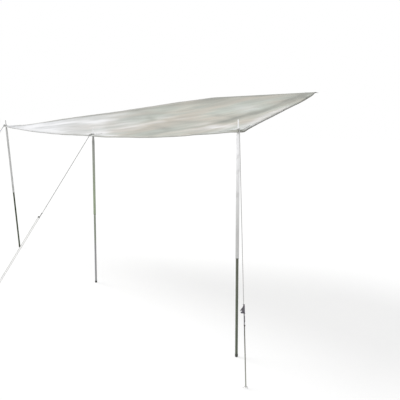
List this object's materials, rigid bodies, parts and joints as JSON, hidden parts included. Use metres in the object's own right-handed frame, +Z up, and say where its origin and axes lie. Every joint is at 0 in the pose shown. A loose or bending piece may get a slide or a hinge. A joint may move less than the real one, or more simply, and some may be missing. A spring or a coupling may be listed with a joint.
{
  "type": "trailer kitchen awning",
  "caption": "Canvas kitchen awning that zips to the roof edge of a trailer tent and stands on leaning telescopic poles with pegged guy ropes.",
  "frame": {"origin": "centre of the top face of the mounting tape, under the tent's roof edge", "axes": "+X along the zip towards the pole nearest the viewer, +Y in towards the tent, +Z up; the ground is at z = -2.4 m"},
  "size_m": [5.4422, 3.2658, 2.624],
  "materials": {
    "canvas": "matt woven canvas",
    "webbing": "matt webbing",
    "eyelet_brass": "worn",
    "zip_tape": "matt woven tape",
    "zip_teeth": "matt",
    "zip_metal": "satin",
    "pole_steel": "bright satin",
    "leg_paint": "satin grey-green paint",
    "nylon": "matt",
    "rubber": "matt",
    "rope": "braided",
    "tail_rope": "braided",
    "runner_steel": "dull",
    "peg_steel": "dull"
  },
  "bodies": {
    "awning": {"canopy_sheet": "canvas", "outer_edge_webbing": "webbing", "near_edge_webbing": "webbing", "far_edge_webbing": "webbing", "near_corner_patch": "canvas", "middle_patch": "canvas", "far_corner_patch": "canvas", "near_eyelet": "eyelet_brass", "middle_eyelet": "eyelet_brass", "far_eyelet": "eyelet_brass", "mounting_tape": "zip_tape", "canopy_zip_tape": "zip_tape", "mounting_zip_teeth": "zip_teeth", "canopy_zip_teeth": "zip_teeth", "near_rope_eye": "rope", "near_guy_rope": "rope", "near_guy_tail": "tail_rope", "near_peg": "peg_steel", "middle_rope_eye": "rope", "middle_guy_rope": "rope", "middle_guy_tail": "tail_rope", "middle_peg": "peg_steel", "far_rope_eye": "rope", "far_guy_rope": "rope", "far_guy_tail": "tail_rope", "far_peg": "peg_steel"},
    "near_pole": {"near_spike": "pole_steel", "near_top_plug": "pole_steel", "near_upper_tube": "pole_steel", "near_tube_bush": "nylon"},
    "near_leg": {"near_leg_tube": "leg_paint", "near_lock_core": "nylon", "near_foot_cap": "rubber"},
    "near_lock": {"near_lock_ring": "rubber"},
    "middle_pole": {"middle_spike": "pole_steel", "middle_top_plug": "pole_steel", "middle_upper_tube": "pole_steel", "middle_tube_bush": "nylon"},
    "middle_leg": {"middle_leg_tube": "leg_paint", "middle_lock_core": "nylon", "middle_foot_cap": "rubber"},
    "middle_lock": {"middle_lock_ring": "rubber"},
    "far_pole": {"far_spike": "pole_steel", "far_top_plug": "pole_steel", "far_upper_tube": "pole_steel", "far_tube_bush": "nylon"},
    "far_leg": {"far_leg_tube": "leg_paint", "far_lock_core": "nylon", "far_foot_cap": "rubber"},
    "far_lock": {"far_lock_ring": "rubber"},
    "near_adjuster": {"near_runner": "runner_steel", "near_tail_knot": "tail_rope", "near_guy_spring": "runner_steel"},
    "middle_adjuster": {"middle_runner": "runner_steel", "middle_tail_knot": "tail_rope"},
    "far_adjuster": {"far_runner": "runner_steel", "far_tail_knot": "tail_rope"},
    "slider": {"zip_slider": "zip_metal"},
    "pull": {"zip_pull": "zip_metal"}
  },
  "joints": [
    {"name": "near_pole_swing", "type": "hinge", "parent": "awning", "child": "near_pole", "pos_m": [1.043, -1.88, -0.4061], "axis": [1, 0, 0], "range_deg": [-6, 6]},
    {"name": "near_leg_slide", "type": "slide", "parent": "near_pole", "child": "near_leg", "axis": [-0.0145, 0, 0.9999], "range_m": [-0.15, 0.5]},
    {"name": "near_lock_turn", "type": "hinge", "parent": "near_leg", "child": "near_lock", "pos_m": [1.0551, -1.88, -1.20352], "axis": [-0.0145, 0, 0.9999], "range_deg": [0, 74]},
    {"name": "middle_pole_swing", "type": "hinge", "parent": "awning", "child": "middle_pole", "pos_m": [-1.16, -1.82, -0.4941], "axis": [1, 0, 0], "range_deg": [-6, 6]},
    {"name": "middle_leg_slide", "type": "slide", "parent": "middle_pole", "child": "middle_leg", "axis": [0.0628, 0, 0.998], "range_m": [-0.15, 0.5]},
    {"name": "middle_lock_turn", "type": "hinge", "parent": "middle_leg", "child": "middle_lock", "pos_m": [-1.20431, -1.82, -1.2058], "axis": [0.0628, 0, 0.998], "range_deg": [0, 74]},
    {"name": "far_pole_swing", "type": "hinge", "parent": "awning", "child": "far_pole", "pos_m": [-3.55, -1.88, -0.4061], "axis": [1, 0, 0], "range_deg": [-6, 6]},
    {"name": "far_leg_slide", "type": "slide", "parent": "far_pole", "child": "far_leg", "axis": [-0.0351, 0, 0.9994], "range_m": [-0.15, 0.5]},
    {"name": "far_lock_turn", "type": "hinge", "parent": "far_leg", "child": "far_lock", "pos_m": [-3.52148, -1.88, -1.20412], "axis": [-0.0351, 0, 0.9994], "range_deg": [0, 74]},
    {"name": "near_runner_slide", "type": "slide", "parent": "awning", "child": "near_adjuster", "axis": [-0.1487, 0.1252, 0.9809], "range_m": [0, 0.3]},
    {"name": "middle_runner_slide", "type": "slide", "parent": "awning", "child": "middle_adjuster", "axis": [0.3361, 0.4327, 0.8365], "range_m": [0, 0.3]},
    {"name": "far_runner_slide", "type": "slide", "parent": "awning", "child": "far_adjuster", "axis": [0.1883, 0.5455, 0.8167], "range_m": [0, 0.3]},
    {"name": "zip_slide", "type": "slide", "parent": "awning", "child": "slider", "axis": [-1, 0, 0], "range_m": [0, 1.35]},
    {"name": "zip_pull_turn", "type": "hinge", "parent": "slider", "child": "pull", "pos_m": [0.63, -0.02, 0.0063], "axis": [0, -1, 0], "range_deg": [0, 170]}
  ]
}
